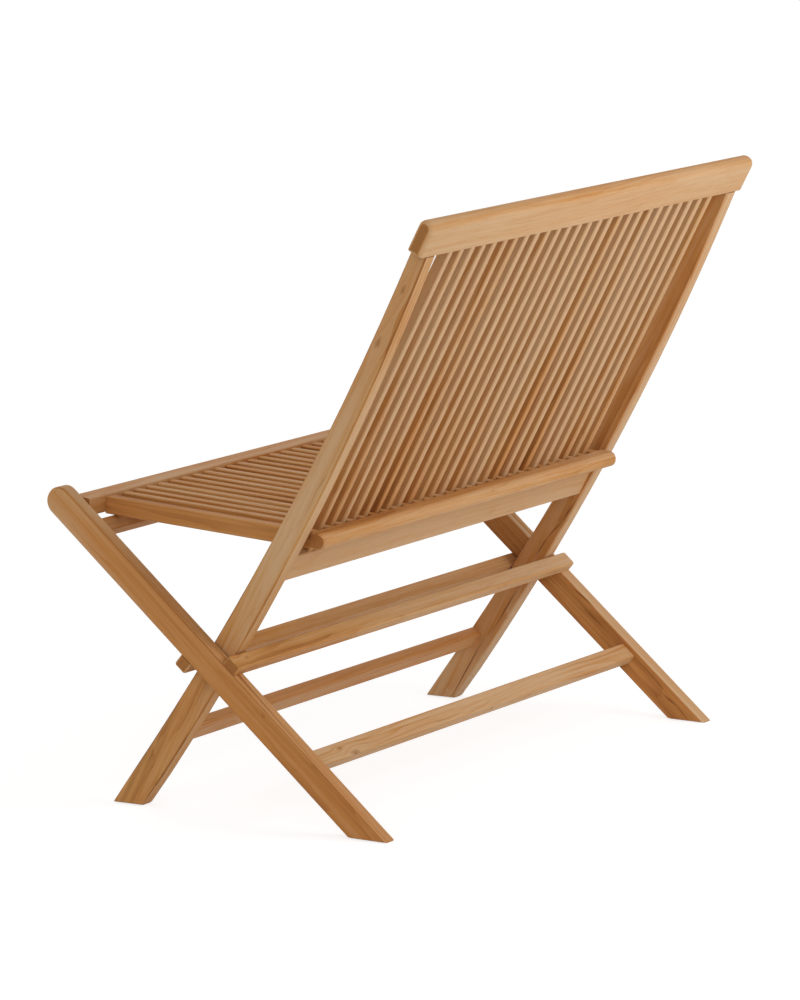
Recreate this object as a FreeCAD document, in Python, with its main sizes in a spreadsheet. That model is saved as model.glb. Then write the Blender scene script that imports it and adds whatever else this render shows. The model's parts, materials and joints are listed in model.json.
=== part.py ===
import FreeCAD, Part
import os
import re

import Sketcher
from FreeCAD import Placement, Rotation, Vector

# A folding slatted bench: a back frame whose stiles run down to the front feet, a rear-leg frame
# that crosses it like scissors, and a slatted seat that hangs on the rear legs' tops and passes
# between the slats of the back. X is the width, the bench faces -Y, Z is up, and the floor is Z = 0.

SIZES = {
    # whole bench
    "half_width": (480.0, "middle to the outer face of a rear leg"),
    "crossing_y": (-52.19, "crossing pin from the middle of the bench"),
    "crossing_z": (230.0, "crossing pin above the floor"),
    # rear legs
    "leg_thickness": (25.0, "rear leg across the bench"),
    "leg_width": (43.0, "rear leg from edge to edge"),
    "leg_angle": (40.3, "rear leg above the horizontal"),
    "leg_reach": (318.0, "crossing pin to seat pin"),
    "leg_head": (40.0, "seat pin to the top of the leg"),
    "leg_flat": (2.0, "flat left between the roundings of the leg's top"),
    "leg_gap": (3.0, "space between rear leg and stile"),
    # stiles
    "stile_thickness": (25.5, "stile across the bench"),
    "stile_lean": (35.6, "lean of the stile from its foot to the crossing"),
    "stile_foot": (55.5, "stile along the floor"),
    "stile_top": (26.0, "stile from front to rear under the top rail"),
    "front_radius": (5000.0, "sweep of the stile's front edge"),
    "rear_radius": (4650.0, "sweep of the stile's rear edge"),
    # back
    "back_lean": (28.41, "lean of the slats"),
    "back_face": (27.9, "rear face of the top rail behind the crossing pin"),
    "top_rail_low": (707.7, "underside of the top rail, up the slats from the crossing pin"),
    "top_rail_height": (54.5, "top rail up the slats"),
    "top_rail_thickness": (25.0, "top rail from front to rear"),
    "top_rail_overhang": (20.5, "top rail beyond the stiles"),
    "top_rail_flat": (1.0, "flat left between the roundings along the top rail"),
    "top_rail_end": (10.0, "rounding of the top rail's ends"),
    "low_rail_height": (44.0, "lower back rail up the slats"),
    "low_rail_thickness": (27.0, "lower back rail from front to rear"),
    "low_rail_face": (26.7, "rear face of the lower back rail behind the crossing pin"),
    "slat_count": (26.0, "slats in the back"),
    "slat_thickness": (12.0, "slat across the bench"),
    "slat_depth": (17.0, "back slat from front to rear"),
    "slat_face": (25.0, "rear edge of a back slat behind the crossing pin"),
    "slat_margin": (47.8, "stile's inner face to the middle of the first slat"),
    "slat_tenon": (8.0, "tenon of a back slat from front to rear"),
    # cross rails
    "stop_inset": (1.0, "stop rail's end inside the leg's outer face"),
    "rear_stop_clear": (18.2, "near edge of the rear stop rail from the crossing pin along the leg"),
    "rear_stop_width": (25.5, "rear stop rail along the leg"),
    "rear_stop_depth": (16.0, "rear stop rail out from the leg's edge"),
    "front_stop_clear": (19.8, "near edge of the front stop rail from the crossing pin along the leg"),
    "front_stop_width": (22.0, "front stop rail along the leg"),
    "front_stop_depth": (19.5, "front stop rail out from the leg's edge"),
    "stretcher_width": (29.0, "broad face of a stretcher"),
    "stretcher_depth": (18.0, "thickness of a stretcher"),
    "rest_width": (24.0, "seat rest along the leg"),
    "rest_depth": (17.0, "thickness of the seat rest"),
    "rest_rise": (0.25, "seat rest's middle above the leg's middle line"),
    "stretcher_place": (209.0, "rear stretcher below the crossing pin along the leg"),
    "stretcher_rise": (4.0, "stretcher's middle above the leg's middle line"),
    "front_place": (161.0, "front stretcher below the crossing pin along the stile"),
    "front_shift": (9.5, "front stretcher ahead of the stile's middle line"),
    # seat
    "seat_slope": (3.45, "fall of the seat to the rear"),
    "seat_top": (14.4, "top of the seat above the seat pin"),
    "seat_thickness": (24.0, "thickness of the seat's rails and slats"),
    "front_rail_nose": (15.0, "front rail ahead of the seat pin"),
    "front_rail_width": (36.6, "front rail from front to rear"),
    "front_rail_round": (7.0, "rounding of the front rail's upper front edge"),
    "front_rail_gap": (1.5, "front rail's end to the rear leg"),
    "front_rail_proud": (3.0, "top of the front rail above the slats"),
    "seat_rest_gap": (1.0, "space between the side rails and what the seat rests on"),
    "rear_rail_gap": (5.5, "space between the back slats and the rear rail"),
    "rear_rail_width": (26.8, "rear rail from front to rear"),
    "rear_rail_flat": (1.0, "flat left between the roundings of the rear rail"),
    "rear_rail_inset": (6.0, "rear rail's end inside the stile's inner face"),
    "side_rail_thickness": (17.0, "side rail across the bench"),
    "side_rail_depth": (26.0, "side rail from top to bottom"),
    "side_rail_inset": (23.5, "middle of the side rail inside the stile's inner face"),
    "seat_tenon": (12.0, "tenon of a seat slat from top to bottom"),
    # joints and fits
    "slat_tenon_length": (12.0, "tenon length of slats and side rails"),
    "rail_tenon_length": (16.0, "tenon length of the cross rails and stiles"),
    "shoulder": (4.0, "step between a rail's face and its tenon"),
    "glue_gap": (0.1, "play round a glued tenon, pin or dowel"),
    "crossing_pin_radius": (5.0, "crossing pin"),
    "crossing_pin_depth": (15.0, "crossing pin inside leg and stile"),
    "seat_pin_radius": (4.0, "seat pin"),
    "seat_pin_depth": (15.0, "seat pin inside leg and front rail"),
    "pin_play": (0.05, "running play round a pin"),
    "pin_end_play": (0.5, "play at the end of a pin"),
    "washer_radius": (11.0, "washer between leg and stile"),
    "washer_play": (0.3, "space between washer and leg"),
    "dowel_radius": (4.0, "dowel of a stop rail"),
    "dowel_in_leg": (14.0, "dowel inside the leg"),
    "dowel_in_rail": (10.0, "dowel inside the stop rail"),
    # eased edges
    "leg_ease": (2.2, "eased edges of legs and stiles"),
    "rail_ease": (2.5, "eased edges of rails"),
    "slat_ease": (1.5, "eased edges of slats"),
}

# Sizes that follow from the driving ones.
DERIVED = {
    "leg_inner": "half_width - leg_thickness",
    "stile_outer": "leg_inner - leg_gap",
    "stile_inner": "stile_outer - stile_thickness",
    "slat_span": "2 * (stile_inner - slat_margin)",
    "slat_pitch": "slat_span / (slat_count - 1)",
    "seat_pin_y": "crossing_y - leg_reach * cos(leg_angle)",
    "seat_pin_z": "crossing_z + leg_reach * sin(leg_angle)",
    "front_rail_face": "front_rail_width - front_rail_nose",
    "seat_to_back": "back_lean - seat_slope",
    "leg_to_seat": "leg_angle - seat_slope",
    "pin_to_slats": "slat_face + rear_rail_gap + leg_reach * cos(leg_angle - back_lean)",
    "rear_rail_face": "(pin_to_slats + seat_top * sin(seat_to_back)) / cos(seat_to_back)",
    "seat_length": "rear_rail_face + rear_rail_width",
    "seat_underside": "seat_top - side_rail_depth - seat_rest_gap",
    "low_rail_front": "(low_rail_face - low_rail_thickness) * sin(seat_to_back)",
    "low_rail_rise": "seat_underside + leg_reach * sin(leg_to_seat) + low_rail_front",
    "low_rail_top": "low_rail_rise / cos(seat_to_back)",
    "rest_corner": "(rest_rise + rest_depth / 2) * cos(leg_to_seat)",
    "rest_drop": "(seat_underside - rest_corner) / sin(leg_to_seat)",
    "rest_place": "leg_reach + rest_drop - rest_width / 2",
    "rear_stop_place": "-(rear_stop_clear + rear_stop_width / 2)",
    "front_stop_place": "front_stop_clear + front_stop_width / 2",
    "seat_low": "seat_top - seat_thickness",
    "slat_middle": "slat_face - slat_depth / 2",
    "low_rail_middle": "low_rail_top - low_rail_height / 2",
    "top_rail_half": "stile_outer + top_rail_overhang",
    "front_rail_half": "leg_inner - front_rail_gap",
    "side_rail_x": "stile_inner - side_rail_inset",
}

doc = FreeCAD.newDocument("FoldingBench")
sheet = doc.addObject("Spreadsheet::Sheet", "Sheet")
pieces = []


def fill_sheet():
    """Write the driving dimensions into the sheet, one row each."""
    for row, (alias, (size, meaning)) in enumerate(SIZES.items(), start=1):
        sheet.set("A%d" % row, meaning)
        sheet.set("B%d" % row, str(size))
        sheet.setAlias("B%d" % row, alias)
    doc.recompute()


def bound(text):
    """Turn plain size names into references to the sheet."""
    def swap(match):
        word = match.group(0)
        if word in DERIVED:
            return "(" + bound(DERIVED[word]) + ")"
        return "Sheet." + word if word in SIZES else word
    return re.sub(r"[a-z_]+", swap, text)


def size(text):
    """Present value of an expression."""
    return float(sheet.evalExpression(bound(text)))


def bind(thing, **properties):
    """Bind properties of a feature to expressions."""
    for name, text in properties.items():
        thing.setExpression(name, bound(text))


def place(thing, x="0", y="0", z="0", turn="0", axis=Vector(1, 0, 0)):
    """Stand a sub-part at a bound position, turned about an axis."""
    thing.Placement = Placement(Vector(0, 0, 0), Rotation(axis, 1.0))
    for name, text in (("x", x), ("y", y), ("z", z)):
        thing.setExpression("Placement.Base." + name, bound(text))
    thing.setExpression("Placement.Rotation.Angle", bound(turn))


def in_leg_frame(thing):
    """Origin at the crossing, Y towards the leg's upper edge, Z up along the leg."""
    place(thing, y="crossing_y", z="crossing_z", turn="90 - leg_angle")


def in_back_frame(thing):
    """Origin at the crossing, Y towards the rear of the back, Z up along the slats."""
    place(thing, y="crossing_y", z="crossing_z", turn="-back_lean")


def in_stile_frame(thing):
    """Origin at the crossing, upright."""
    place(thing, y="crossing_y", z="crossing_z")


def in_seat_frame(thing):
    """Origin at the seat pin, Y to the rear along the seat, Z up from it."""
    place(thing, y="seat_pin_y", z="seat_pin_z", turn="-seat_slope")


def leaned(along, across, lean):
    """Upright coordinates of a point given along and across a leaning line."""
    first = "(%s) * sin(%s) + (%s) * cos(%s)" % (along, lean, across, lean)
    second = "(%s) * cos(%s) - (%s) * sin(%s)" % (along, lean, across, lean)
    return first, second


def box(low_y, high_y, low_z, high_z):
    """Corners of a rectangle, anticlockwise."""
    return [(low_y, low_z), (high_y, low_z), (high_y, high_z), (low_y, high_z)]


def new_body(label, frame):
    """A body in one of the bench's frames, listed for writing."""
    body = doc.addObject("PartDesign::Body", label)
    body.Label = label
    frame(body)
    pieces.append(body)
    return body


def sketch_on(body, plane, offset="0"):
    """A sketch on one of the body's own planes, moved along its normal."""
    sketch = body.newObject("Sketcher::SketchObject", body.Label + "_sketch")
    support = next(item for item in body.Origin.OriginFeatures if item.Role == plane)
    sketch.AttachmentSupport = [(support, "")]
    sketch.MapMode = "FlatFace"
    sketch.setExpression("AttachmentOffset.Base.z", bound(offset))
    return sketch


def pin_point(sketch, side, end, at):
    """Fix a side's end at bound coordinates."""
    for kind, text in zip(("DistanceX", "DistanceY"), at):
        index = sketch.addConstraint(Sketcher.Constraint(kind, -1, 1, side, end, size(text)))
        sketch.setExpression("Constraints[%d]" % index, bound(text))


def outline(sketch, corners, arcs=None):
    """A closed outline; arcs gives the radius of a side that bulges to its right-hand side."""
    arcs = arcs or {}
    points = [Vector(size(first), size(second), 0) for first, second in corners]
    count = len(points)
    ends = []
    for side, start in enumerate(points):
        finish = points[(side + 1) % count]
        if side not in arcs:
            sketch.addGeometry(Part.LineSegment(start, finish))
            ends.append((1, 2))
            continue
        radius = size(arcs[side])
        chord = finish - start
        outward = Vector(chord.y, -chord.x, 0).normalize()
        sagitta = abs(radius) - (radius ** 2 - chord.Length ** 2 / 4) ** 0.5
        bulge = outward * sagitta * (1 if radius > 0 else -1)
        sketch.addGeometry(Part.Arc(start, (start + finish) / 2 + bulge, finish))
        ends.append((1, 2) if radius > 0 else (2, 1))
        index = sketch.addConstraint(Sketcher.Constraint("Radius", side, abs(radius)))
        sketch.setExpression("Constraints[%d]" % index, bound("abs(%s)" % arcs[side]))
    for side in range(count):
        following = (side + 1) % count
        join = Sketcher.Constraint("Coincident", side, ends[side][1], following, ends[following][0])
        sketch.addConstraint(join)
        pin_point(sketch, side, ends[side][0], corners[side])


def pad(body, corners, length, start="0", middle=False, arcs=None):
    """Extrude a side-view outline across the bench, from start or evenly about the middle."""
    sketch = sketch_on(body, "YZ_Plane", start)
    outline(sketch, corners, arcs)
    feature = body.newObject("PartDesign::Pad", body.Label + "_pad")
    feature.Profile = sketch
    feature.SideType = "Symmetric" if middle else "One side"
    bind(feature, Length=length)
    sketch.Visibility = False
    return feature


def pocket(body, sketch, depth, forward):
    """Cut a sketch into the body, along its plane's normal or against it."""
    doc.recompute()
    before = body.Shape.Volume
    feature = body.newObject("PartDesign::Pocket", body.Label + "_pocket")
    feature.Profile = sketch
    feature.Reversed = forward
    bind(feature, Length=depth)
    doc.recompute()
    if body.Shape.Volume >= before:
        raise RuntimeError("a pocket of %s cuts nothing" % body.Label)
    return feature


def slot(body, plane, offset, corners, depth, forward):
    """A straight-sided mortise."""
    sketch = sketch_on(body, plane, offset)
    outline(sketch, corners)
    return pocket(body, sketch, depth, forward)


def bore(body, plane, offset, centre, radius, depth, forward):
    """A blind round hole."""
    sketch = sketch_on(body, plane, offset)
    middle = Vector(size(centre[0]), size(centre[1]), 0)
    sketch.addGeometry(Part.Circle(middle, Vector(0, 0, 1), size(radius)))
    pin_point(sketch, 0, 3, centre)
    index = sketch.addConstraint(Sketcher.Constraint("Radius", 0, size(radius)))
    sketch.setExpression("Constraints[%d]" % index, bound(radius))
    return pocket(body, sketch, depth, forward)


def repeat_across(body, feature, count, span):
    """Repeat a cut evenly across the bench."""
    pattern = body.newObject("PartDesign::LinearPattern", body.Label + "_row")
    pattern.Originals = [feature]
    axis = next(item for item in body.Origin.OriginFeatures if item.Role == "X_Axis")
    pattern.Direction = (axis, [""])
    bind(pattern, Length=span, Occurrences=count)
    body.Tip = pattern
    doc.recompute()


def dress(body, kind, amount, wanted):
    """Give the edges that a rule picks a fillet or a chamfer."""
    doc.recompute()
    base = body.Tip
    names = ["Edge%d" % number for number, edge in enumerate(base.Shape.Edges, 1) if wanted(edge)]
    feature = body.newObject("PartDesign::" + kind, body.Label + "_ease")
    feature.Base = (base, names)
    bind(feature, **{"Radius" if kind == "Fillet" else "Size": amount})
    doc.recompute()


def ease(body, radius, wanted):
    """Round the edges that a rule picks."""
    dress(body, "Fillet", radius, wanted)


def along(edge, axis):
    """True for a straight edge that runs along an axis."""
    straight = isinstance(edge.Curve, Part.Line)
    return straight and abs(edge.tangentAt(edge.FirstParameter).dot(axis)) > 0.999


def near(value, *targets):
    return any(abs(value - target) < 1e-4 for target in targets)


def in_plane_x(edge, *places):
    """True for an edge that lies in one of the planes X = place."""
    xs = [vertex.X for vertex in edge.Vertexes]
    return len(xs) == 2 and near(xs[0], *places) and near(xs[0], xs[1])


ACROSS = Vector(1, 0, 0)
SIDES = {"right": 1, "left": -1}


def rear_leg(name, side):
    """Straight leg from the rear foot up to the front of the seat, with a rounded top."""
    body = new_body("rear_leg_" + name, in_leg_frame)
    half = "leg_width / 2"
    foot_low = "-(crossing_z - %s * cos(leg_angle)) / sin(leg_angle)" % half
    foot_high = "-(crossing_z + %s * cos(leg_angle)) / sin(leg_angle)" % half
    top = "leg_reach + leg_head"
    corners = [("-" + half, foot_low), (half, foot_high), (half, top), ("-" + half, top)]
    pad(body, corners, "leg_thickness", "leg_inner" if side > 0 else "-half_width")
    ease(body, "(leg_width - leg_flat) / 2", lambda edge: along(edge, ACROSS)
         and near(edge.Vertexes[0].Z, size(top)))
    faces = [side * size("leg_inner"), side * size("half_width")]
    dress(body, "Chamfer", "leg_ease", lambda edge: in_plane_x(edge, *faces))
    inner = "leg_inner" if side > 0 else "-(leg_inner)"
    for rail, middle in (("stretcher", "-stretcher_place"), ("rest", "rest_place")):
        corners = tenon_corners(rail + "_rise", rail + "_depth", middle, rail + "_width", "glue_gap")
        slot(body, "YZ_Plane", inner, corners, "rail_tenon_length + glue_gap", side > 0)
    crossing = ("0", "0")
    seat = ("0", "leg_reach")
    bore(body, "YZ_Plane", inner, crossing, "crossing_pin_radius + pin_play",
         "crossing_pin_depth + pin_end_play", side > 0)
    bore(body, "YZ_Plane", inner, seat, "seat_pin_radius + pin_play",
         "seat_pin_depth + pin_end_play", side > 0)
    middle_x = "(half_width - leg_thickness / 2) * %d" % side
    for edge, up in ((half, 1), ("-" + half, -1)):
        centre = (middle_x, "rear_stop_place" if up > 0 else "front_stop_place")
        bore(body, "XZ_Plane", "-(%s)" % edge, centre, "dowel_radius + glue_gap",
             "dowel_in_leg + glue_gap", up > 0)


def tenon_corners(middle_y, depth, middle_z, width, play="0"):
    """Section of a rail's tenon, or of its mortise where play is given."""
    half_y = "((%s) / 2 - shoulder + %s)" % (depth, play)
    half_z = "((%s) / 2 - shoulder + %s)" % (width, play)
    return box("%s - %s" % (middle_y, half_y), "%s + %s" % (middle_y, half_y),
               "%s - %s" % (middle_z, half_z), "%s + %s" % (middle_z, half_z))


def tenoned_rail(label, frame, middle_y, depth, middle_z, width, half_span):
    """Rectangular rail across the bench with a shouldered tenon at each end."""
    body = new_body(label, frame)
    corners = box("%s - (%s) / 2" % (middle_y, depth), "%s + (%s) / 2" % (middle_y, depth),
                  "%s - (%s) / 2" % (middle_z, width), "%s + (%s) / 2" % (middle_z, width))
    pad(body, corners, "2 * (%s)" % half_span, middle=True)
    ease(body, "rail_ease", lambda edge: along(edge, ACROSS))
    tenon = tenon_corners(middle_y, depth, middle_z, width)
    pad(body, tenon, "2 * (%s + rail_tenon_length)" % half_span, middle=True)
    doc.recompute()
    return body


def stop_rail(label, up):
    """Rail on the legs' upper or lower edges, beside the crossing."""
    body = new_body(label, in_leg_frame)
    which = "rear_stop" if up > 0 else "front_stop"
    depth = which + "_depth"
    half_width = which + "_width / 2"
    middle = which + "_place"
    low = "leg_width / 2" if up > 0 else "-leg_width / 2 - " + depth
    corners = box(low, "%s + %s" % (low, depth), "%s - %s" % (middle, half_width),
                  "%s + %s" % (middle, half_width))
    half = "half_width - stop_inset"
    pad(body, corners, "2 * (%s)" % half, middle=True)
    ends = [size(half), -size(half)]
    outer = (size("leg_width / 2") + size(depth)) * up

    def outward(edge):
        return near(edge.Vertexes[0].Y, outer) and near(edge.Vertexes[1].Y, outer)

    dress(body, "Chamfer", "rail_ease", lambda edge: outward(edge)
          or along(edge, Vector(0, 1, 0)) and in_plane_x(edge, *ends))
    face = "leg_width / 2" if up > 0 else "-leg_width / 2"
    for side in SIDES.values():
        centre = ("(half_width - leg_thickness / 2) * %d" % side, middle)
        bore(body, "XZ_Plane", "-(%s)" % face, centre, "dowel_radius + glue_gap",
             "dowel_in_rail + glue_gap", up < 0)


def stop_rail_dowels():
    """Four hidden dowels that hold the stop rails on the legs."""
    dowels = []
    for up in (1, -1):
        for name, side in SIDES.items():
            dowel = doc.addObject("Part::Cylinder", "dowel_%s" % name)
            bind(dowel, Radius="dowel_radius", Height="dowel_in_leg + dowel_in_rail")
            start = "leg_width / 2 - dowel_in_leg" if up > 0 else "-leg_width / 2 - dowel_in_rail"
            along_leg = "(rear_stop_place)" if up > 0 else "(front_stop_place)"
            place(dowel, x="(half_width - leg_thickness / 2) * %d" % side,
                  y="crossing_y + (%s) * sin(leg_angle) - %s * cos(leg_angle)" % (start, along_leg),
                  z="crossing_z + (%s) * cos(leg_angle) + %s * sin(leg_angle)" % (start, along_leg),
                  turn="-leg_angle")
            dowels.append(dowel)
    group("stop_rail_dowels", dowels)


def group(label, members):
    """Separate solids that share one node."""
    compound = doc.addObject("Part::Compound", label)
    compound.Label = label
    compound.Links = members
    pieces.append(compound)


def stile(name, side):
    """Swept, tapered stile from the front foot up to the top rail."""
    body = new_body("back_stile_" + name, in_stile_frame)
    foot = "-crossing_z * tan(stile_lean)"
    rear_top = leaned("top_rail_low", "back_face", "back_lean")
    front_top = leaned("top_rail_low", "back_face - stile_top", "back_lean")
    corners = [(foot + " - stile_foot / 2", "-crossing_z"), (foot + " + stile_foot / 2", "-crossing_z"),
               rear_top, front_top]
    start = "stile_inner" if side > 0 else "-(stile_outer)"
    pad(body, corners, "stile_thickness", start, arcs={1: "rear_radius", 3: "-front_radius"})
    doc.recompute()
    faces = [side * size("stile_inner"), side * size("stile_outer")]
    top = size(front_top[1]) - size("stile_top")
    dress(body, "Chamfer", "leg_ease", lambda edge: in_plane_x(edge, *faces)
          and min(vertex.Z for vertex in edge.Vertexes) < top)
    tenon = [leaned(height, reach, "back_lean") for reach, height in
             box("back_face - stile_top + shoulder", "back_face - 2 * shoulder",
                 "top_rail_low - leg_ease", "top_rail_low + rail_tenon_length")]
    inset = "(%s) + %s" % (start, "shoulder")
    pad(body, tenon, "stile_thickness - 2 * shoulder", inset)
    inner = "stile_inner" if side > 0 else "-(stile_inner)"
    low_rail = tenon_corners("low_rail_face - low_rail_thickness / 2", "low_rail_thickness",
                             "low_rail_middle", "low_rail_height", "glue_gap")
    front_rail = tenon_corners("-front_shift", "stretcher_depth", "-front_place",
                               "stretcher_width", "glue_gap")
    for corners, lean in ((low_rail, "back_lean"), (front_rail, "stile_lean")):
        upright = [leaned(height, reach, lean) for reach, height in corners]
        slot(body, "YZ_Plane", inner, upright, "rail_tenon_length + glue_gap", side > 0)
    outer = "stile_outer" if side > 0 else "-(stile_outer)"
    bore(body, "YZ_Plane", outer, ("0", "0"), "crossing_pin_radius + glue_gap",
         "crossing_pin_depth + glue_gap", side < 0)


def slat_slots(body, plane, offset, low, high, forward, count, span):
    """A row of mortises for slats, even across the bench."""
    first = "-(%s) / 2" % span
    half = "(slat_thickness / 2 + glue_gap)"
    corners = box("%s - %s" % (first, half), "%s + %s" % (first, half), low, high)
    cut = slot(body, plane, offset, corners, "slat_tenon_length + glue_gap", forward)
    repeat_across(body, cut, count, span)


def top_rail():
    """Rounded rail over the stiles and slats."""
    body = new_body("top_rail", in_back_frame)
    corners = box("back_face - top_rail_thickness", "back_face", "top_rail_low",
                  "top_rail_low + top_rail_height")
    pad(body, corners, "2 * (top_rail_half)", middle=True)
    high = size("top_rail_low + top_rail_height")
    ends = [size("top_rail_half"), -size("top_rail_half")]
    ease(body, "(top_rail_thickness - top_rail_flat) / 2", lambda edge: along(edge, ACROSS)
         and near(edge.Vertexes[0].Z, high))
    ease(body, "top_rail_end", lambda edge: in_plane_x(edge, *ends))
    low = size("top_rail_low")
    ease(body, "rail_ease", lambda edge: along(edge, ACROSS) and near(edge.Vertexes[0].Z, low))
    for side in SIDES.values():
        inner = "stile_inner" if side > 0 else "-(stile_outer)"
        corners = box(inner + " + shoulder - glue_gap",
                      inner + " + stile_thickness - shoulder + glue_gap",
                      "back_face - stile_top + shoulder - glue_gap", "back_face - 2 * shoulder + glue_gap")
        slot(body, "XY_Plane", "top_rail_low", corners, "rail_tenon_length + glue_gap", True)
    half = "(slat_tenon / 2 + glue_gap)"
    slat_slots(body, "XY_Plane", "top_rail_low", "slat_middle - " + half, "slat_middle + " + half,
               True, "slat_count", "slat_span")


def low_back_rail():
    """Rail between the stiles that holds the slats' lower ends and carries the seat's rear."""
    body = tenoned_rail("lower_back_rail", in_back_frame, "low_rail_face - low_rail_thickness / 2",
                        "low_rail_thickness", "low_rail_middle", "low_rail_height", "stile_inner")
    half = "(slat_tenon / 2 + glue_gap)"
    slat_slots(body, "XY_Plane", "low_rail_top", "slat_middle - " + half, "slat_middle + " + half,
               False, "slat_count", "slat_span")


def tenoned_slat(body, x, thickness, low_y, high_y, tenon, start_z, end_z):
    """A slat with a shouldered tenon at each end, lengthwise along Z or along Y."""
    first = "%s - (%s) / 2" % (x, thickness)
    pad(body, box(low_y, high_y, start_z, end_z), thickness, first)
    upright = size(end_z) - size(start_z) > size(high_y) - size(low_y)
    lengthwise = Vector(0, 0, 1) if upright else Vector(0, 1, 0)
    dress(body, "Chamfer", "slat_ease", lambda edge: along(edge, lengthwise))
    pad(body, tenon, thickness, first)
    doc.recompute()


def back_slats():
    """Straight slats between the lower back rail and the top rail."""
    tenon = box("slat_middle - slat_tenon / 2", "slat_middle + slat_tenon / 2",
                "low_rail_top - slat_tenon_length", "top_rail_low + slat_tenon_length")
    for number in range(round(size("slat_count"))):
        body = new_body("back_slat_%02d" % (number + 1), in_back_frame)
        x = "slat_pitch * %d - slat_span / 2" % number
        tenoned_slat(body, x, "slat_thickness", "slat_face - slat_depth", "slat_face", tenon,
                     "low_rail_top", "top_rail_low")


def seat_member(label, x, thickness, depth):
    """A piece of the seat that runs from the front rail to the rear rail."""
    body = new_body(label, in_seat_frame)
    middle = "(seat_top - seat_thickness / 2)"
    tenon = box("front_rail_face - slat_tenon_length", "rear_rail_face + slat_tenon_length",
                middle + " - seat_tenon / 2", middle + " + seat_tenon / 2")
    tenoned_slat(body, x, thickness, "front_rail_face", "rear_rail_face", tenon,
                 "seat_top - (%s)" % depth, "seat_top")
    return body


def seat_slats():
    """Slats of the seat, one in each gap of the back, two to a node."""
    count = round(size("slat_count")) - 1
    for first in range(0, count, 2):
        pair = []
        for number in range(first, min(first + 2, count)):
            x = "slat_pitch * %d - slat_pitch * (slat_count - 2) / 2" % number
            pair.append(seat_member("seat_slat_%02d" % (number + 1), x, "slat_thickness", "seat_thickness"))
        for body in pair:
            pieces.remove(body)
        group("seat_slats_%02d" % (first // 2 + 1), pair)


def seat_rail_slots(body, offset, forward):
    """Mortises of the slats and of the two side rails in a seat rail."""
    half = "(seat_tenon / 2 + glue_gap)"
    middle = "(seat_top - seat_thickness / 2)"
    for side in SIDES.values():
        x = "(%s) * %d" % ("side_rail_x", side)
        half_x = "(side_rail_thickness / 2 + glue_gap)"
        corners = box("%s - %s" % (x, half_x), "%s + %s" % (x, half_x),
                      "%s - %s" % (middle, half), "%s + %s" % (middle, half))
        slot(body, "XZ_Plane", offset, corners, "slat_tenon_length + glue_gap", forward)
    slat_slots(body, "XZ_Plane", offset, "%s - %s" % (middle, half), "%s + %s" % (middle, half),
               forward, "slat_count - 1", "slat_pitch * (slat_count - 2)")


def seat_front_rail():
    """Front rail of the seat, with a rounded nose, between the rear legs' tops."""
    body = new_body("seat_front_rail", in_seat_frame)
    top_edge = "seat_top + front_rail_proud"
    pad(body, box("-front_rail_nose", "front_rail_face", "seat_low", top_edge),
        "2 * (front_rail_half)", middle=True)
    nose = -size("front_rail_nose")
    top = size(top_edge)

    def upper_front(edge):
        return along(edge, ACROSS) and near(edge.Vertexes[0].Y, nose) and near(edge.Vertexes[0].Z, top)

    ease(body, "front_rail_round", upper_front)
    ease(body, "rail_ease", lambda edge: along(edge, ACROSS)
         and near(edge.Vertexes[0].Y, nose, size("front_rail_face"))
         and near(edge.Vertexes[0].Z, size("seat_low"), top))
    seat_rail_slots(body, "-(front_rail_face)", True)
    for side in SIDES.values():
        end = "(%s) * %d" % ("front_rail_half", side)
        bore(body, "YZ_Plane", end, ("0", "0"), "seat_pin_radius + glue_gap",
             "seat_pin_depth + glue_gap", side < 0)


def seat_rear_rail():
    """Bullnosed rail behind the back slats that joins the seat's slats."""
    body = new_body("seat_rear_rail", in_seat_frame)
    half = "stile_inner - rear_rail_inset"
    pad(body, box("rear_rail_face", "seat_length", "seat_low", "seat_top"), "2 * (%s)" % half, middle=True)
    rear = size("seat_length")
    ease(body, "(seat_thickness - rear_rail_flat) / 2", lambda edge: along(edge, ACROSS)
         and near(edge.Vertexes[0].Y, rear))
    ends = [size(half), -size(half)]
    dress(body, "Chamfer", "rail_ease", lambda edge: in_plane_x(edge, *ends))
    seat_rail_slots(body, "-(rear_rail_face)", False)


def pins(label, radius, start, length, y, z):
    """A pin on each side of the bench, lying across it."""
    made = []
    for name, side in SIDES.items():
        pin = doc.addObject("Part::Cylinder", "%s_%s" % (label, name))
        bind(pin, Radius=radius, Height=length)
        place(pin, x="(%s) * %d" % (start, side), y=y, z=z, turn="%d * 90" % side, axis=Vector(0, 1, 0))
        made.append(pin)
    group(label, made)


def crossing_washers():
    """A washer on each crossing pin, between stile and leg."""
    made = []
    for name, side in SIDES.items():
        rings = []
        for part, radius in (("disc", "washer_radius"), ("hole", "crossing_pin_radius + glue_gap")):
            ring = doc.addObject("Part::Cylinder", "washer_%s_%s" % (part, name))
            bind(ring, Radius=radius, Height="leg_gap - washer_play")
            place(ring, x="(stile_outer) * %d" % side, y="crossing_y", z="crossing_z",
                  turn="%d * 90" % side, axis=Vector(0, 1, 0))
            rings.append(ring)
        washer = doc.addObject("Part::Cut", "washer_" + name)
        washer.Base, washer.Tool = rings
        made.append(washer)
    group("crossing_washers", made)


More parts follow.
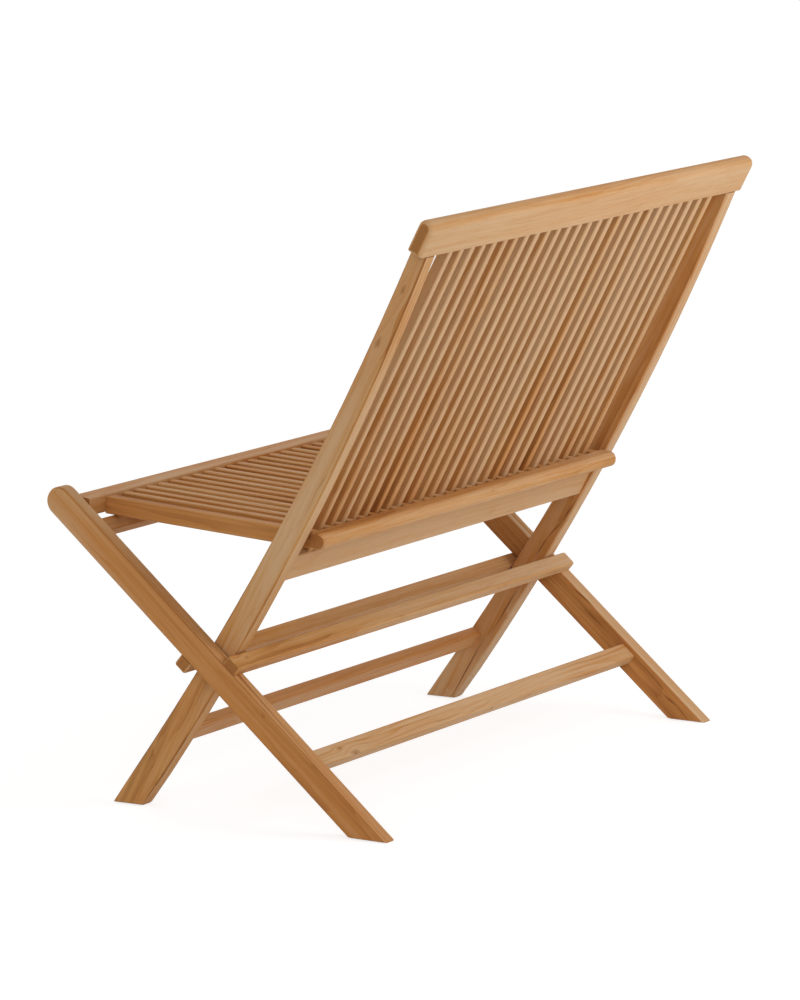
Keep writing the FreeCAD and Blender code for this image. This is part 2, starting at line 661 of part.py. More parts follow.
def build():
    """Make every piece of the bench."""
    for name, side in SIDES.items():
        rear_leg(name, side)
        stile(name, side)
    stop_rail("rear_stop_rail", 1)
    stop_rail("front_stop_rail", -1)
    stop_rail_dowels()
    tenoned_rail("rear_stretcher", in_leg_frame, "stretcher_rise", "stretcher_depth", "-stretcher_place",
                 "stretcher_width", "leg_inner")
    tenoned_rail("seat_rest_rail", in_leg_frame, "rest_rise", "rest_depth", "rest_place",
                 "rest_width", "leg_inner")

    def in_foot_frame(thing):
        place(thing, y="crossing_y", z="crossing_z", turn="-stile_lean")

    tenoned_rail("front_stretcher", in_foot_frame, "-front_shift", "stretcher_depth", "-front_place",
                 "stretcher_width", "stile_inner")
    top_rail()
    low_back_rail()
    back_slats()
    seat_front_rail()
    seat_rear_rail()
    for name, side in SIDES.items():
        seat_member("seat_side_rail_" + name, "(%s) * %d" % ("side_rail_x", side), "side_rail_thickness",
                    "side_rail_depth")
    seat_slats()
    pins("crossing_pins", "crossing_pin_radius", "stile_outer - crossing_pin_depth",
         "leg_gap + 2 * crossing_pin_depth", "crossing_y", "crossing_z")
    pins("seat_pins", "seat_pin_radius", "front_rail_half - seat_pin_depth",
         "front_rail_gap + 2 * seat_pin_depth", "seat_pin_y", "seat_pin_z")
    crossing_washers()
    doc.recompute()


def write():
    """Check every object and write one file per piece."""
    for item in doc.Objects:
        if "Invalid" in item.State or "Error" in item.State:
            raise RuntimeError("%s did not build" % item.Label)
    for piece in pieces:
        if piece.Shape.isNull() or not piece.Shape.isValid():
            raise RuntimeError("%s has no valid shape" % piece.Label)
    os.makedirs("parts", exist_ok=True)
    for piece in pieces:
        piece.Shape.exportStep("parts/%s.step" % piece.Label)


fill_sheet()
build()
write()
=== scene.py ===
import json
import math
from collections import namedtuple

import bmesh
import bpy
from bpy.props import FloatProperty, FloatVectorProperty, PointerProperty
from bpy.types import Operator, Panel, PropertyGroup
from mathutils import Matrix, Vector


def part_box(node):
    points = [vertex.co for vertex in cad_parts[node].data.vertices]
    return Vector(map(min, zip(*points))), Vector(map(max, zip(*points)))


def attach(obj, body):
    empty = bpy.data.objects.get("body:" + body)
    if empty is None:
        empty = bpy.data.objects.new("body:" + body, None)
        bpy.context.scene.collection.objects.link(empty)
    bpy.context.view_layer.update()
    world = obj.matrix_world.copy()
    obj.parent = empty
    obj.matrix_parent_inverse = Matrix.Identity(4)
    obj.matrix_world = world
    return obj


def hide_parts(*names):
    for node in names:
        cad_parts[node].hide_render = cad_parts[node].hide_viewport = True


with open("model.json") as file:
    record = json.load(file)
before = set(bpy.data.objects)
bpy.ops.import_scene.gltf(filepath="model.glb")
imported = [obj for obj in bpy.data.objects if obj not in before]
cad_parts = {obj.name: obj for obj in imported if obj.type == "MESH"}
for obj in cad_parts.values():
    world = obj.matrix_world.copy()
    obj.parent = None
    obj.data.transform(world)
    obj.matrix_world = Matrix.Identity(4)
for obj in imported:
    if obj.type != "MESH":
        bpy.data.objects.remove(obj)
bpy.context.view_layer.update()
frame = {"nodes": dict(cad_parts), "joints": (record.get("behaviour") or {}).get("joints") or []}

bl_info = {
    "name": "Folding Teak Bench",
    "version": (1, 0, 0),
    "blender": (4, 5, 0),
    "location": "View3D > Sidebar > Bench",
    "description": "Dresses a folding slatted bench in oiled teak and sets up a studio for it",
    "category": "Object",
}

NODES = frame["nodes"]
JOINTS = {joint["name"]: joint for joint in frame["joints"]}

# Records that the functions below pass round. A layer is one coarseness of the wood's figure, a mark
# is a knot or a split, and a drift is a change of tone along a direction.
Layer = namedtuple("Layer", "stretch detail weight")
Mark = namedtuple("Mark", "centre tilt radius stretch darkness")
Drift = namedtuple("Drift", "direction start length amount")
Figure = namedtuple("Figure", "broad middle streaks clouds ring pores")

# Turn of a board that lies along X.
ALONG_X = (0.0, -math.pi / 2, 0.0)

# How far a step of its seed, or its place in a row, moves a board through the tree.
SEED_STEP = (1.7, 0.9, 3.1)
ROW_STEP = (0.3, 0.3, 4.0)

# Figure of the wood. The stretch is across, across and along the board.
BROAD = Layer((26.0, 26.0, 0.8), 2.0, 1.5)
MIDDLE = Layer((95.0, 95.0, 1.6), 3.0, 1.1)
STREAKS = Layer((330.0, 330.0, 4.5), 3.0, 0.85)
CLOUDS = Layer((14.0, 14.0, 3.0), 3.0, 0.8)
PORES = Layer((1100.0, 1100.0, 30.0), 2.0, 0.22)
MEAN_NOISE = 0.5

# Growth rings round a far-off, slightly tilted heart.
RING_WANDER = Layer((16.0, 16.0, 1.6), 3.0, 8.0)
HEART_TILT = (0.030, -0.022, 0.0)
HEART_PLACE = (0.11, 0.05, 0.0)
LATE_WOOD = (0.35, 0.97)
LATE_WOOD_CLOUDS = (0.35, 0.65, 0.4, 1.0)
RING_LINE = (0.88, 0.98)
RING_LINE_BREAKS = (0.46, 0.62)
RING_LINE_DARKNESS = 1.6

# How the figure, the row and a drift turn the wood redder.
CLOUD_REDNESS = 2.4
BROAD_REDNESS = -1.6
ROW_REDNESS = 2.0
DRIFT_REDNESS = 0.5
DRIFT_WANDER = 0.05

# Faces and edges of a board, told apart by their normals. Paler narrow faces and paler eased edges
# are painted light.
EASED_EDGE = (0.25, 0.55)
NARROW_PAINTED_LIGHT = (0.6, 0.9)
END_FACE = (0.75, 0.95)
END_DEPTH = 0.72
END_PULL = -0.9
END_REDNESS = 0.10
END_PORES = (0.40, 0.70, 0.05, 0.45)

# Pores and the surface of the oiled wood.
OPEN_PORE = (0.56, 0.72)
PORE_HEIGHT = -0.6
STREAK_HEIGHT = 0.5
STREAK_ROUGHNESS = 0.25
SPECULAR_LEVEL = 0.06
BUMP_STRENGTH = 0.25
BUMP_DISTANCE = 0.0006

# Knots and splits.
KNOT_STRETCH = 2.4
KNOT_DARKNESS = 0.6
SPLIT_REACH = 0.75
SPLIT_DARKNESS = 1.0
MARK_EDGE = (0.6, 1.7)
MARK_RIPPLE_SCALE = 1.6
MARK_RIPPLE = 1.1
GRAIN_PUSH = -0.9
GRAIN_PUSH_REACH = 4.5

# Splits on the inner faces of the left leg and stile: Y and Z of both ends, and the half width.
LEG_LEFT_FACE = -0.455
LEG_LEFT_SPLITS = (
    ((0.1806, 0.0375), (0.2028, 0.0230), 0.0028),
    ((0.2028, 0.0230), (0.2215, 0.0036), 0.0016),
    ((0.0359, 0.1629), (0.0689, 0.1369), 0.0023),
    ((0.0169, 0.1935), (0.0516, 0.1690), 0.0020),
)
STILE_LEFT_FACE = -0.4265
STILE_LEFT_SPLITS = (
    ((0.0342, 0.3363), (0.0120, 0.3046), 0.0020),
    ((0.0120, 0.3046), (-0.0142, 0.2777), 0.0018),
    ((-0.0142, 0.2777), (-0.0346, 0.2477), 0.0020),
    ((-0.0714, 0.1878), (-0.1126, 0.1235), 0.0020),
    ((-0.1374, 0.0962), (-0.1917, 0.0065), 0.0022),
)

# Steel of the pins and washers.
STEEL_STRETCH = (2600.0, 300.0, 300.0)
STEEL_DARK = (0.48, 0.46, 0.43, 1.0)
STEEL_LIGHT = (0.66, 0.64, 0.60, 1.0)
STEEL_ROUGHNESS = (0.28, 0.44)

# Rounding of the soles.
MERGE_DISTANCE = 1e-5
FLAT_ANGLE = math.radians(0.4)
SOLE_HEIGHT = 2e-4
EASE_STEPS = 3
SHARP_ANGLE = math.radians(30.0)

# Stage. A lamp's direction points from the bench to the lamp.
WHITE = (1.0, 1.0, 1.0, 1.0)
FLOOR_REACH = 40.0
FLOOR_SHADE = 0.5
FLOOR_GLOW = 0.74
KEY_DIRECTION = Vector((-0.18, 0.97, 0.10))
KEY_PLACE = Vector((-0.28, 1.78, 1.05))
KEY_SIZE = 1.2
FILL_DIRECTION = Vector((1.0, 0.25, 0.35))
FRONT_DIRECTION = Vector((-0.4, -1.0, 0.75))
SUN_SOFTNESS = math.radians(60.0)
SENSOR_WIDTH = 36.0
CLIP_END = 100.0


def tint(name, description, default):
    """A colour that a user may change."""
    return FloatVectorProperty(name=name, description=description, default=default, size=3,
                               min=0.0, max=1.0, subtype="COLOR")


class BenchTeak(PropertyGroup):
    pale: tint("Pale", "Colour of the lightest teak", (0.61, 0.388, 0.212))
    honey: tint("Honey", "Colour of the golden teak", (0.56, 0.290, 0.097))
    russet: tint("Russet", "Colour of the reddest teak", (0.50, 0.192, 0.050))
    dark: tint("Dark", "Colour of the darkest streaks, knots and splits", (0.24, 0.082, 0.022))
    ring_width: FloatProperty(name="Ring Width", description="Mean width of a growth ring",
                              default=0.009, unit="LENGTH")
    roughness: FloatProperty(name="Roughness", description="Roughness of the oiled wood",
                             default=0.5, min=0.0, max=1.0)
    foot_ease: FloatProperty(name="Foot Ease", description="Rounding round the soles of the feet",
                             default=0.005, unit="LENGTH")
    back_lean: FloatProperty(name="Back Lean", description="Lean of the back's slats",
                             default=math.radians(28.41), subtype="ANGLE")
    seat_slope: FloatProperty(name="Seat Slope", description="Fall of the seat to the rear",
                              default=math.radians(3.45), subtype="ANGLE")


class BenchStage(PropertyGroup):
    azimuth: FloatProperty(name="Azimuth", description="Camera's way round the bench",
                           default=math.radians(122.04), subtype="ANGLE")
    elevation: FloatProperty(name="Elevation", description="Camera's height as an angle",
                             default=math.radians(9.77), subtype="ANGLE")
    roll: FloatProperty(name="Roll", description="Camera's turn about its own axis",
                        default=math.radians(-0.60), subtype="ANGLE")
    distance: FloatProperty(name="Distance", description="Camera to the point it looks at",
                            default=8.2624, unit="LENGTH")
    target: FloatVectorProperty(name="Target", description="Point the camera looks at",
                                default=(0.0315, -0.0010, 0.4078), subtype="TRANSLATION")
    lens: FloatProperty(name="Lens", description="Focal length over a 36 mm wide picture",
                        default=247.66, unit="CAMERA")
    floor: tint("Floor", "Colour of the floor", (0.86, 0.86, 0.86))
    sky: FloatProperty(name="Sky", description="Strength of the even light", default=0.45)
    key: FloatProperty(name="Key", description="Power of the large lamp behind the bench",
                       default=15.0, unit="POWER")
    fill: FloatProperty(name="Fill", description="Strength of the lamp beside the bench",
                        default=0.84)
    front: FloatProperty(name="Front", description="Strength of the lamp before the bench",
                         default=0.5)


def leg_lean():
    """Lean of the rear legs from the upright, from the two pivots."""
    crossing = Vector(JOINTS["fold"]["pos_m"])
    seat_pin = Vector(JOINTS["seat_pivot"]["pos_m"])
    run = seat_pin - crossing
    return math.atan2(-run.y, run.z)


def uphill(lean):
    """Direction up a board that leans to the rear."""
    return Vector((0.0, math.sin(lean), math.cos(lean)))


def named(start):
    """Names of the nodes that begin with a word."""
    found = sorted(name for name in NODES if name.startswith(start))
    if not found:
        raise RuntimeError("no node begins with " + start)
    return found


def slat_row():
    """Half the slats' pitch, because the slats stand at odd multiples of it."""
    first, second = (sum(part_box(name), Vector()) / 2 for name in named("back_slat_")[:2])
    return abs(second.x - first.x) / 2


def highest(name, direction):
    """How far a node reaches in a direction."""
    return max(vertex.co.dot(direction) for vertex in NODES[name].data.vertices)


class Tree:
    """Short calls for building a node tree."""

    def __init__(self, tree):
        self.tree = tree

    def node(self, kind, inputs=None, **settings):
        made = self.tree.nodes.new(kind)
        for name, value in settings.items():
            setattr(made, name, value)
        for name, value in (inputs or {}).items():
            self.feed(made.inputs[name], value)
        return made

    def feed(self, socket, value):
        if isinstance(value, bpy.types.NodeSocket):
            self.tree.links.new(value, socket)
        else:
            socket.default_value = value

    def math(self, operation, first, second=0.0, third=0.0, clamp=False):
        inputs = {0: first, 1: second, 2: third}
        return self.node("ShaderNodeMath", inputs, operation=operation,
                         use_clamp=clamp).outputs[0]

    def add(self, base, value, weight, clamp=False):
        """A base plus a weighted value."""
        return self.math("MULTIPLY_ADD", value, weight, base, clamp)

    def swing(self, noise):
        """A noise moved to lie about nothing."""
        return self.math("SUBTRACT", noise, MEAN_NOISE)

    def vector(self, operation, first, second=(0.0, 0.0, 0.0)):
        inputs = {0: first, 1: second}
        return self.node("ShaderNodeVectorMath", inputs, operation=operation).outputs["Vector"]

    def number(self, operation, first, second=(0.0, 0.0, 0.0)):
        """A vector operation that gives a number."""
        inputs = {0: first, 1: second}
        return self.node("ShaderNodeVectorMath", inputs, operation=operation).outputs["Value"]

    def parts(self, vector):
        return self.node("ShaderNodeSeparateXYZ", {0: vector}).outputs

    def place(self, **sockets):
        return self.node("ShaderNodeMapping", sockets).outputs[0]

    def noise(self, vector, scale, detail=3.0, roughness=0.55):
        inputs = {"Vector": vector, "Scale": scale, "Detail": detail, "Roughness": roughness}
        return self.node("ShaderNodeTexNoise", inputs).outputs["Fac"]

    def layer(self, board, layer):
        """One coarseness of figure over a board."""
        return self.noise(self.place(Vector=board, Scale=layer.stretch), 1.0, layer.detail)

    def span(self, value, low, high, start=0.0, end=1.0):
        inputs = {"Value": value, "From Min": low, "From Max": high, "To Min": start, "To Max": end}
        return self.node("ShaderNodeMapRange", inputs,
                         interpolation_type="SMOOTHSTEP").outputs[0]

    def mix(self, factor, first, second):
        made = self.node("ShaderNodeMix", data_type="RGBA")
        sockets = (made.inputs[0], made.inputs[6], made.inputs[7])
        for socket, value in zip(sockets, (factor, first, second)):
            self.feed(socket, value)
        return made.outputs[2]


def new_material(name):
    """A material, its tree and its shader."""
    material = bpy.data.materials.new(name)
    material.use_nodes = True
    nodes = material.node_tree.nodes
    return material, Tree(material.node_tree), nodes["Principled BSDF"]


def board_space(tree, turn, seed, row_pitch):
    """Coordinates with Z along the board, shifted so that each board is a cut of its own."""
    spot = tree.node("ShaderNodeTexCoord").outputs
    shift = tuple(seed * step for step in SEED_STEP)
    along = tree.place(Vector=spot["Object"], Rotation=turn, Location=shift)
    facing = tree.place(Vector=spot["Normal"], Rotation=turn)
    if not row_pitch:
        return along, facing, None
    across = tree.parts(spot["Object"])[0]
    number = tree.math("ROUND", tree.math("DIVIDE", across, row_pitch))
    chance = tree.node("ShaderNodeTexWhiteNoise", {"W": number}, noise_dimensions="1D")
    lots = chance.outputs["Color"]
    moved = tree.vector("ADD", along, tree.vector("MULTIPLY", lots, ROW_STEP))
    return moved, facing, tree.parts(lots)


def growth_rings(tree, board, ring_width):
    """Rings drawn as a saw-tooth from early to late wood."""
    wander = tree.layer(board, RING_WANDER)
    tilted = tree.place(Vector=board, Rotation=HEART_TILT, Location=HEART_PLACE)
    radius = tree.number("LENGTH", tree.vector("MULTIPLY", tilted, (1.0, 1.0, 0.0)))
    warped = tree.add(radius, wander, ring_width * RING_WANDER.weight)
    return tree.math("FRACT", tree.math("DIVIDE", warped, ring_width))


def knot(centre, radius, turn):
    """A knot, drawn out a little along its board."""
    tilt = tuple(-angle for angle in turn)
    return Mark(centre, tilt, radius, KNOT_STRETCH, KNOT_DARKNESS)


def split(face, start, end, radius):
    """A drying split between two points on the side of a leg or stile."""
    start, end = Vector((face, *start)), Vector((face, *end))
    run = end - start
    tilt = (-math.atan2(run.y, run.z), 0.0, 0.0)
    stretch = SPLIT_REACH * run.length / radius
    return Mark((start + end) / 2, tilt, radius, stretch, SPLIT_DARKNESS)


def dark_marks(tree, board, marks):
    """Dark knots and splits at points of the object, and the grain pushed aside round them."""
    spot = tree.node("ShaderNodeTexCoord").outputs["Object"]
    eyes = 0.0
    for mark in marks:
        size = (mark.radius, mark.radius, mark.radius * mark.stretch)
        sockets = {"Vector": spot, "Location": mark.centre, "Rotation": mark.tilt, "Scale": size}
        local = tree.node("ShaderNodeMapping", sockets, vector_type="TEXTURE").outputs[0]
        away = tree.number("LENGTH", local)
        ripple = tree.noise(local, MARK_RIPPLE_SCALE)
        eye = tree.span(tree.add(away, ripple, MARK_RIPPLE), *MARK_EDGE, mark.darkness, 0.0)
        eyes = tree.math("MAXIMUM", eyes, eye)
        push = tree.span(away, 0.0, GRAIN_PUSH_REACH, GRAIN_PUSH * mark.radius, 0.0)
        aside = tree.node("ShaderNodeVectorMath", {0: local, "Scale": push}, operation="SCALE")
        across = tree.vector("MULTIPLY", aside.outputs[0], (1.0, 1.0, 0.0))
        board = tree.vector("ADD", board, across)
    return board, eyes


def wood_figure(tree, board, ring_width):
    """The layers, growth rings and pores of a board."""
    layers = [tree.layer(board, layer) for layer in (BROAD, MIDDLE, STREAKS, CLOUDS)]
    return Figure(*layers, growth_rings(tree, board, ring_width), tree.layer(board, PORES))


def figured_tone(tree, wood, depth, warmth, figure, rings):
    """Shade and redness of a board's figure."""
    shade = depth
    for noise, layer in zip(wood, (BROAD, MIDDLE, STREAKS, CLOUDS)):
        shade = tree.add(shade, tree.swing(noise), layer.weight * figure)
    late = tree.math("MULTIPLY", tree.span(wood.ring, *LATE_WOOD),
                     tree.span(wood.clouds, *LATE_WOOD_CLOUDS))
    shade = tree.add(shade, late, rings)
    redness = tree.add(warmth, tree.swing(wood.clouds), CLOUD_REDNESS * figure)
    redness = tree.add(redness, tree.swing(wood.broad), BROAD_REDNESS * figure)
    return shade, redness


def drifted_tone(tree, wood, drifts, shade, redness):
    """Shade and redness changed along the drifts."""
    for drift in drifts:
        spot = tree.node("ShaderNodeTexCoord").outputs["Object"]
        height = tree.number("DOT_PRODUCT", spot, drift.direction)
        height = tree.add(height, tree.swing(wood.broad), DRIFT_WANDER)
        band = tree.span(height, drift.start, drift.start + drift.length)
        shade = tree.add(shade, band, drift.amount)
        redness = tree.add(redness, band, DRIFT_REDNESS * drift.amount)
    return shade, redness


def eased_edges(tree, normal):
    """One on the slanted or rounded edges along a board, nothing on its faces."""
    sides = [tree.math("ABSOLUTE", normal[axis]) for axis in (0, 1)]
    return tree.span(tree.math("MINIMUM", *sides), *EASED_EDGE)


def wood_colour(tree, look, wood, shade, redness, rings, end_grain, eyes):
    """Colour from the shade and redness, with the dark lines, pores and marks over it."""
    pale, honey, russet, dark = ((*colour, 1.0) for colour in
                                 (look.pale, look.honey, look.russet, look.dark))
    # The first half of the shade runs from pale to the full colour, and the second on to dark.
    full = tree.mix(redness, honey, russet)
    colour = tree.mix(tree.math("MULTIPLY", shade, 2.0, clamp=True), pale, full)
    colour = tree.mix(tree.math("MULTIPLY_ADD", shade, 2.0, -1.0, clamp=True), colour, dark)
    lines = tree.math("MULTIPLY", tree.span(wood.ring, *RING_LINE),
                      tree.span(wood.middle, *RING_LINE_BREAKS))
    open_pores = tree.math("MULTIPLY", tree.span(wood.pores, *OPEN_PORE), PORES.weight)
    end_pores = tree.math("MULTIPLY", end_grain, tree.span(wood.pores, *END_PORES))
    deep = tree.math("MULTIPLY", lines, min(1.0, rings * RING_LINE_DARKNESS))
    for other in (open_pores, end_pores, eyes):
        deep = tree.math("MAXIMUM", deep, other)
    return tree.mix(deep, colour, dark)


def wood_surface(tree, shader, wood, roughness):
    """Sheen and fine relief of oiled wood."""
    gloss = tree.add(roughness, tree.swing(wood.streaks), STREAK_ROUGHNESS)
    tree.feed(shader.inputs["Roughness"], gloss)
    shader.inputs["Specular IOR Level"].default_value = SPECULAR_LEVEL
    ridges = tree.math("MULTIPLY", wood.streaks, STREAK_HEIGHT)
    height = tree.add(ridges, tree.span(wood.pores, *OPEN_PORE), PORE_HEIGHT)
    bump = tree.node("ShaderNodeBump", {"Height": height, "Strength": BUMP_STRENGTH,
                                        "Distance": BUMP_DISTANCE})
    tree.feed(shader.inputs["Normal"], bump.outputs[0])


def teak(name, turn, seed, depth, warmth, figure, rings=0.2, edge=-0.12, narrow_painted_light=0.0,
         row_pitch=0.0, spread=0.0, marks=(), drifts=()):
    """Oiled teak with its grain along a board.

    Depth runs from pale at 0 through the full colour at 0.5 to the darkest at 1, and warmth from
    honey to russet. Figure and rings set how strong the streaks and the growth rings are. The edge
    setting is a painted highlight along the eased edges where it is below nothing, and darkens
    them where it is above. The narrow setting is painted light: below nothing it makes the narrow
    faces paler than the broad ones. Spread is how far the boards of a row differ.
    """
    look = bpy.context.scene.bench_teak
    material, tree, shader = new_material(name)
    board, facing, lots = board_space(tree, turn, seed, row_pitch)
    board, eyes = dark_marks(tree, board, marks)
    wood = wood_figure(tree, board, look.ring_width)

    shade, redness = figured_tone(tree, wood, depth, warmth, figure, rings)
    if lots is not None:
        shade = tree.add(shade, tree.swing(lots[0]), spread)
        redness = tree.add(redness, tree.swing(lots[1]), spread * ROW_REDNESS)
    shade, redness = drifted_tone(tree, wood, drifts, shade, redness)

    normal = tree.parts(facing)
    # Painted light: the narrow faces are made paler than the broad faces, standing in for the
    # stronger light on them.
    if narrow_painted_light:
        painted_light_faces = tree.span(tree.math("ABSOLUTE", normal[1]), *NARROW_PAINTED_LIGHT)
        shade = tree.add(shade, painted_light_faces, narrow_painted_light)
    end_grain = tree.span(tree.math("ABSOLUTE", normal[2]), *END_FACE)
    shade = tree.add(shade, end_grain, tree.add(END_DEPTH, shade, END_PULL))
    # Painted highlight: a negative edge makes the eased edges paler, as if catching the light. A
    # positive edge darkens them.
    shade = tree.add(shade, eased_edges(tree, normal), edge, clamp=True)
    redness = tree.add(redness, end_grain, END_REDNESS, clamp=True)

    colour = wood_colour(tree, look, wood, shade, redness, rings, end_grain, eyes)
    tree.feed(shader.inputs["Base Color"], colour)
    wood_surface(tree, shader, wood, look.roughness)
    return material


def brushed_steel():
    """Plain steel with fine turning marks."""
    material, tree, shader = new_material("steel")
    spot = tree.node("ShaderNodeTexCoord").outputs["Object"]
    turning = tree.noise(tree.place(Vector=spot, Scale=STEEL_STRETCH), 1.0)
    shader.inputs["Metallic"].default_value = 1.0
    tree.feed(shader.inputs["Base Color"], tree.mix(turning, STEEL_DARK, STEEL_LIGHT))
    tree.feed(shader.inputs["Roughness"], tree.span(turning, 0.0, 1.0, *STEEL_ROUGHNESS))
    return material


def dress_piece(piece, material):
    """Give one object a material all over."""
    if not piece.material_slots:
        piece.data.materials.append(material)
    for slot in piece.material_slots:
        slot.material = material


def dress(names, material):
    """Give CAD nodes a material."""
    for name in names:
        dress_piece(NODES[name], material)


def worn_foot(name, body):
    """A copy of a leg or stile whose foot is rounded over, standing in for it."""
    shape = bmesh.new()
    shape.from_mesh(NODES[name].data)
    bmesh.ops.remove_doubles(shape, verts=shape.verts, dist=MERGE_DISTANCE)
    bmesh.ops.dissolve_limit(shape, angle_limit=FLAT_ANGLE, verts=shape.verts, edges=shape.edges)
    sole = [edge for edge in shape.edges
            if all(abs(vertex.co.z) < SOLE_HEIGHT for vertex in edge.verts)]
    if not sole:
        raise RuntimeError(name + " has no sole")
    bmesh.ops.bevel(shape, geom=sole, offset=bpy.context.scene.bench_teak.foot_ease,
                    offset_type="OFFSET", segments=EASE_STEPS, profile=0.5, affect="EDGES",
                    material=-1, clamp_overlap=False)
    mesh = bpy.data.meshes.new(name + "_finished")
    shape.to_mesh(mesh)
    shape.free()
    mesh.shade_smooth()
    mesh.set_sharp_from_angle(angle=SHARP_ANGLE)
    piece = bpy.data.objects.new(name + "_finished", mesh)
    bpy.context.scene.collection.objects.link(piece)
    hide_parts(name)
    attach(piece, body)
    return piece


class BENCH_OT_rear_legs(Operator):
    """Finish the two rear legs"""
    bl_idname = "bench.rear_legs"
    bl_label = "Rear Legs"

    def execute(self, context):
        turn = (-leg_lean(), 0.0, 0.0)
        upward = uphill(-leg_lean())
        # Painted light: the right leg is made paler towards its top, as light falling from above
        # would make it.
        painted_light_head_length = 0.32
        painted_light_head = Drift(upward, start=highest("rear_leg_right", upward) - painted_light_head_length,
                     length=painted_light_head_length, amount=-0.22)
        knots = [knot((0.480, 0.0437, 0.1646), 0.0025, turn)]
        splits = [split(LEG_LEFT_FACE, *ends) for ends in LEG_LEFT_SPLITS]
        right = teak("teak_leg_right", turn, seed=1.3, depth=0.49, warmth=0.72, figure=0.40,
                     rings=0.12, edge=0.34, narrow_painted_light=-0.12, marks=knots, drifts=[painted_light_head])
        left = teak("teak_leg_left", turn, seed=2.9, depth=0.59, warmth=0.66, figure=0.42,
                    rings=0.15, edge=-0.10, narrow_painted_light=-0.48, marks=splits)
        for name, material in (("rear_leg_right", right), ("rear_leg_left", left)):
            dress_piece(worn_foot(name, "leg_frame"), material)
        return {"FINISHED"}


class BENCH_OT_stiles(Operator):
    """Finish the two stiles of the back"""
    bl_idname = "bench.stiles"
    bl_label = "Stiles"

    def execute(self, context):
        lean = context.scene.bench_teak.back_lean
        turn = (lean, 0.0, 0.0)
        upward = uphill(lean)
        # Paler from partway up the stile to its top.
        paler_above = Drift(upward, start=0.12, length=0.30, amount=-0.24)
        stained = Drift(upward, start=0.58, length=0.18, amount=0.15)
        darkened = Drift(upward, start=-0.10, length=0.35, amount=0.30)
        knots = [knot((0.452, 0.2284, 0.7145), 0.0050, turn),
                 knot((0.452, 0.2708, 0.7922), 0.0040, turn)]
        splits = [split(STILE_LEFT_FACE, *ends) for ends in STILE_LEFT_SPLITS]
        right = teak("teak_stile_right", turn, seed=4.1, depth=0.46, warmth=0.30, figure=0.56,
                     rings=0.14, edge=0.38, narrow_painted_light=-0.14, marks=knots, drifts=[paler_above, stained])
        left = teak("teak_stile_left", turn, seed=5.3, depth=0.18, warmth=0.62, figure=0.42,
                    rings=0.20, edge=-0.12, narrow_painted_light=-0.42, marks=splits, drifts=[darkened])
        for name, material in (("back_stile_right", right), ("back_stile_left", left)):
            dress_piece(worn_foot(name, "back_frame"), material)
        return {"FINISHED"}


class BENCH_OT_rails(Operator):
    """Finish the rails of the back and the legs"""
    bl_idname = "bench.rails"
    bl_label = "Rails"

    def execute(self, context):
        upward = uphill(context.scene.bench_teak.back_lean)
        crown = Drift(upward, start=highest("top_rail", upward) - 0.010, length=0.006, amount=0.18)
        stop_knots = [knot((0.455, -0.014, 0.246), 0.004, ALONG_X),
                      knot((0.445, -0.006, 0.239), 0.003, ALONG_X)]
        stretcher_knots = [knot((0.3594, 0.1245, 0.0973), 0.006, ALONG_X),
                           knot((0.385, 0.113, 0.1068), 0.004, ALONG_X)]
        boards = {
            "top_rail": teak("teak_top_rail", ALONG_X, seed=6.7, depth=0.19, warmth=0.32,
                             figure=0.42, rings=0.12, drifts=[crown]),
            "lower_back_rail": teak("teak_lower_back_rail", ALONG_X, seed=7.9, depth=0.27,
                                    warmth=0.30, figure=0.34, rings=0.08),
            "rear_stop_rail": teak("teak_rear_stop", ALONG_X, seed=8.3, depth=0.41, warmth=0.40,
                                   figure=0.75, rings=0.18, marks=stop_knots),
            # Painted shade: the darker eased edges of the front stop rail stand in for the shadow
            # line between it and the rear stop rail.
            "front_stop_rail": teak("teak_front_stop", ALONG_X, seed=9.1, depth=0.22, warmth=0.32,
                                    figure=0.60, rings=0.15, edge=0.12),
            "rear_stretcher": teak("teak_rear_stretcher", ALONG_X, seed=10.7, depth=0.24,
                                   warmth=0.34, figure=0.60, rings=0.28, marks=stretcher_knots),
            "front_stretcher": teak("teak_front_stretcher", ALONG_X, seed=11.3, depth=0.46,
                                    warmth=0.68, figure=0.40, rings=0.10),
            "seat_rest_rail": teak("teak_seat_rest", ALONG_X, seed=12.1, depth=0.48, warmth=0.60,
                                   figure=0.45, rings=0.10),
        }
        for name, material in boards.items():
            dress([name], material)
        return {"FINISHED"}


class BENCH_OT_back_slats(Operator):
    """Finish the slats of the back, each from a board of its own"""
    bl_idname = "bench.back_slats"
    bl_label = "Back Slats"

    def execute(self, context):
        lean = context.scene.bench_teak.back_lean
        turn = (lean, 0.0, 0.0)
        upward = uphill(lean)
        # Painted light: the slats are made paler towards their tops and darker towards the seat, as
        # the light falls on them.
        paler_above = Drift(upward, start=highest("back_slat_01", upward) - 0.50, length=0.36,
                         amount=-0.26)
        row = slat_row()
        plain = teak("teak_back_slats", turn, seed=13.7, depth=0.45, warmth=0.52, figure=0.48,
                     rings=0.14, edge=-0.10, narrow_painted_light=-0.26, row_pitch=row, spread=0.26,
                     drifts=[paler_above])
        brown = teak("teak_brown_slats", turn, seed=13.7, depth=0.60, warmth=0.62, figure=0.42,
                     rings=0.10, edge=-0.08, narrow_painted_light=-0.22, row_pitch=row, spread=0.1,
                     drifts=[paler_above])
        dress(named("back_slat_"), plain)
        dress(["back_slat_10", "back_slat_25"], brown)
        return {"FINISHED"}


